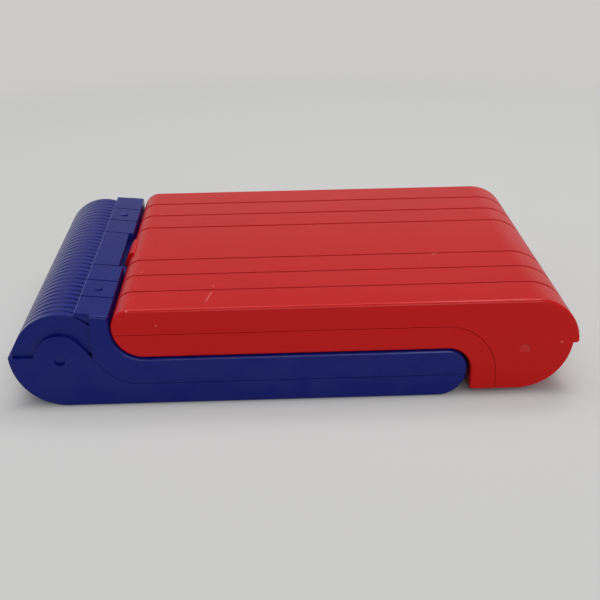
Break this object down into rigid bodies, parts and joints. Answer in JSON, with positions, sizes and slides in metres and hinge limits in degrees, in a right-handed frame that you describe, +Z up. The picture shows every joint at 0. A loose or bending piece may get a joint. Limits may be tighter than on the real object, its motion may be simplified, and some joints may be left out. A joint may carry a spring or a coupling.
{
  "type": "toy laptop computer",
  "caption": "Toy laptop with a red screen lid that folds over a blue keyboard base, a ribbed roll-open battery barrel at the hinge end and a hooked hood at the front.",
  "frame": {"origin": "middle of the footprint, on the table under the foot pads", "axes": "+X from the battery barrel to the hood end, +Y across the width, +Z up"},
  "size_m": [0.365, 0.258, 0.066],
  "materials": {
    "blue_plastic": "moulded, glossy",
    "red_plastic": "moulded, glossy",
    "clear_window": "clear",
    "display": "liquid crystal panel",
    "board": "circuit board",
    "steel": "plain steel",
    "speaker_metal": "pressed steel",
    "speaker_paper": "paper cone",
    "rubber_sheet": "silicone",
    "rubber_pads": "black rubber",
    "dark_plastic": "black plastic",
    "cell_wrap": "printed cell jackets",
    "key_plastic": "moulded",
    "accent_plastic": "moulded"
  },
  "bodies": {
    "base": {"base_tray": "blue_plastic", "keyboard_deck": "blue_plastic", "key_dome_sheet": "rubber_sheet", "main_board": "board", "battery_cradle": "dark_plastic", "battery_cells": "cell_wrap", "battery_contacts": "steel", "battery_spring": "steel", "case_screws": "steel", "foot_pads": "rubber_pads"},
    "lid": {"lid_shell": "red_plastic", "screen_bezel": "red_plastic", "hinge_knuckle": "red_plastic", "hinge_pin": "steel", "hood_cover": "red_plastic", "screen_window": "clear_window", "display_panel": "display", "display_board": "board", "speaker_frame": "speaker_metal", "speaker_cone": "speaker_paper", "lid_screws": "steel"},
    "cover": {"battery_cover": "blue_plastic"},
    "switch": {"power_switch": "accent_plastic"},
    "key_a": {"key_a": "key_plastic"},
    "key_b": {"key_b": "key_plastic"},
    "key_c": {"key_c": "key_plastic"},
    "key_d": {"key_d": "key_plastic"},
    "key_e": {"key_e": "key_plastic"},
    "key_f": {"key_f": "key_plastic"},
    "key_g": {"key_g": "key_plastic"},
    "key_h": {"key_h": "key_plastic"},
    "key_i": {"key_i": "key_plastic"},
    "key_j": {"key_j": "key_plastic"},
    "key_k": {"key_k": "key_plastic"},
    "key_l": {"key_l": "key_plastic"},
    "key_m": {"key_m": "key_plastic"},
    "key_n": {"key_n": "key_plastic"},
    "key_o": {"key_o": "key_plastic"},
    "key_p": {"key_p": "key_plastic"},
    "key_q": {"key_q": "key_plastic"},
    "key_r": {"key_r": "key_plastic"},
    "key_s": {"key_s": "key_plastic"},
    "key_t": {"key_t": "key_plastic"},
    "key_u": {"key_u": "key_plastic"},
    "key_v": {"key_v": "key_plastic"},
    "key_w": {"key_w": "key_plastic"},
    "key_x": {"key_x": "key_plastic"},
    "key_y": {"key_y": "key_plastic"},
    "key_z": {"key_z": "key_plastic"},
    "key_erase": {"key_erase": "accent_plastic"},
    "key_space": {"key_space": "accent_plastic"},
    "key_enter": {"key_enter": "accent_plastic"},
    "key_quiz": {"key_quiz": "accent_plastic"},
    "key_music": {"key_music": "accent_plastic"},
    "key_repeat": {"key_repeat": "accent_plastic"}
  },
  "joints": [
    {"name": "lid_hinge", "type": "hinge", "parent": "base", "child": "lid", "pos_m": [-0.0955, 0, 0.054], "axis": [0, -1, 0], "range_deg": [0, 110]},
    {"name": "battery_cover_roll", "type": "hinge", "parent": "base", "child": "cover", "pos_m": [-0.1495, 0, 0.033], "axis": [0, 1, 0], "range_deg": [0, 50]},
    {"name": "power_slide", "type": "slide", "parent": "base", "child": "switch", "axis": [0, 1, 0], "range_m": [0, 0.006]},
    {"name": "key_a_press", "type": "slide", "parent": "base", "child": "key_a", "axis": [0, 0, -1], "range_m": [0, 0.0025], "stiffness_N_per_m": 300, "springref_m": -0.001},
    {"name": "key_b_press", "type": "slide", "parent": "base", "child": "key_b", "axis": [0, 0, -1], "range_m": [0, 0.0025], "stiffness_N_per_m": 300, "springref_m": -0.001},
    {"name": "key_c_press", "type": "slide", "parent": "base", "child": "key_c", "axis": [0, 0, -1], "range_m": [0, 0.0025], "stiffness_N_per_m": 300, "springref_m": -0.001},
    {"name": "key_d_press", "type": "slide", "parent": "base", "child": "key_d", "axis": [0, 0, -1], "range_m": [0, 0.0025], "stiffness_N_per_m": 300, "springref_m": -0.001},
    {"name": "key_e_press", "type": "slide", "parent": "base", "child": "key_e", "axis": [0, 0, -1], "range_m": [0, 0.0025], "stiffness_N_per_m": 300, "springref_m": -0.001},
    {"name": "key_f_press", "type": "slide", "parent": "base", "child": "key_f", "axis": [0, 0, -1], "range_m": [0, 0.0025], "stiffness_N_per_m": 300, "springref_m": -0.001},
    {"name": "key_g_press", "type": "slide", "parent": "base", "child": "key_g", "axis": [0, 0, -1], "range_m": [0, 0.0025], "stiffness_N_per_m": 300, "springref_m": -0.001},
    {"name": "key_h_press", "type": "slide", "parent": "base", "child": "key_h", "axis": [0, 0, -1], "range_m": [0, 0.0025], "stiffness_N_per_m": 300, "springref_m": -0.001},
    {"name": "key_i_press", "type": "slide", "parent": "base", "child": "key_i", "axis": [0, 0, -1], "range_m": [0, 0.0025], "stiffness_N_per_m": 300, "springref_m": -0.001},
    {"name": "key_j_press", "type": "slide", "parent": "base", "child": "key_j", "axis": [0, 0, -1], "range_m": [0, 0.0025], "stiffness_N_per_m": 300, "springref_m": -0.001},
    {"name": "key_k_press", "type": "slide", "parent": "base", "child": "key_k", "axis": [0, 0, -1], "range_m": [0, 0.0025], "stiffness_N_per_m": 300, "springref_m": -0.001},
    {"name": "key_l_press", "type": "slide", "parent": "base", "child": "key_l", "axis": [0, 0, -1], "range_m": [0, 0.0025], "stiffness_N_per_m": 300, "springref_m": -0.001},
    {"name": "key_m_press", "type": "slide", "parent": "base", "child": "key_m", "axis": [0, 0, -1], "range_m": [0, 0.0025], "stiffness_N_per_m": 300, "springref_m": -0.001},
    {"name": "key_n_press", "type": "slide", "parent": "base", "child": "key_n", "axis": [0, 0, -1], "range_m": [0, 0.0025], "stiffness_N_per_m": 300, "springref_m": -0.001},
    {"name": "key_o_press", "type": "slide", "parent": "base", "child": "key_o", "axis": [0, 0, -1], "range_m": [0, 0.0025], "stiffness_N_per_m": 300, "springref_m": -0.001},
    {"name": "key_p_press", "type": "slide", "parent": "base", "child": "key_p", "axis": [0, 0, -1], "range_m": [0, 0.0025], "stiffness_N_per_m": 300, "springref_m": -0.001},
    {"name": "key_q_press", "type": "slide", "parent": "base", "child": "key_q", "axis": [0, 0, -1], "range_m": [0, 0.0025], "stiffness_N_per_m": 300, "springref_m": -0.001},
    {"name": "key_r_press", "type": "slide", "parent": "base", "child": "key_r", "axis": [0, 0, -1], "range_m": [0, 0.0025], "stiffness_N_per_m": 300, "springref_m": -0.001},
    {"name": "key_s_press", "type": "slide", "parent": "base", "child": "key_s", "axis": [0, 0, -1], "range_m": [0, 0.0025], "stiffness_N_per_m": 300, "springref_m": -0.001},
    {"name": "key_t_press", "type": "slide", "parent": "base", "child": "key_t", "axis": [0, 0, -1], "range_m": [0, 0.0025], "stiffness_N_per_m": 300, "springref_m": -0.001},
    {"name": "key_u_press", "type": "slide", "parent": "base", "child": "key_u", "axis": [0, 0, -1], "range_m": [0, 0.0025], "stiffness_N_per_m": 300, "springref_m": -0.001},
    {"name": "key_v_press", "type": "slide", "parent": "base", "child": "key_v", "axis": [0, 0, -1], "range_m": [0, 0.0025], "stiffness_N_per_m": 300, "springref_m": -0.001},
    {"name": "key_w_press", "type": "slide", "parent": "base", "child": "key_w", "axis": [0, 0, -1], "range_m": [0, 0.0025], "stiffness_N_per_m": 300, "springref_m": -0.001},
    {"name": "key_x_press", "type": "slide", "parent": "base", "child": "key_x", "axis": [0, 0, -1], "range_m": [0, 0.0025], "stiffness_N_per_m": 300, "springref_m": -0.001},
    {"name": "key_y_press", "type": "slide", "parent": "base", "child": "key_y", "axis": [0, 0, -1], "range_m": [0, 0.0025], "stiffness_N_per_m": 300, "springref_m": -0.001},
    {"name": "key_z_press", "type": "slide", "parent": "base", "child": "key_z", "axis": [0, 0, -1], "range_m": [0, 0.0025], "stiffness_N_per_m": 300, "springref_m": -0.001},
    {"name": "key_erase_press", "type": "slide", "parent": "base", "child": "key_erase", "axis": [0, 0, -1], "range_m": [0, 0.0025], "stiffness_N_per_m": 300, "springref_m": -0.001},
    {"name": "key_space_press", "type": "slide", "parent": "base", "child": "key_space", "axis": [0, 0, -1], "range_m": [0, 0.0025], "stiffness_N_per_m": 300, "springref_m": -0.001},
    {"name": "key_enter_press", "type": "slide", "parent": "base", "child": "key_enter", "axis": [0, 0, -1], "range_m": [0, 0.0025], "stiffness_N_per_m": 300, "springref_m": -0.001},
    {"name": "key_quiz_press", "type": "slide", "parent": "base", "child": "key_quiz", "axis": [0, 0, -1], "range_m": [0, 0.0025], "stiffness_N_per_m": 300, "springref_m": -0.001},
    {"name": "key_music_press", "type": "slide", "parent": "base", "child": "key_music", "axis": [0, 0, -1], "range_m": [0, 0.0025], "stiffness_N_per_m": 300, "springref_m": -0.001},
    {"name": "key_repeat_press", "type": "slide", "parent": "base", "child": "key_repeat", "axis": [0, 0, -1], "range_m": [0, 0.0025], "stiffness_N_per_m": 300, "springref_m": -0.001}
  ]
}
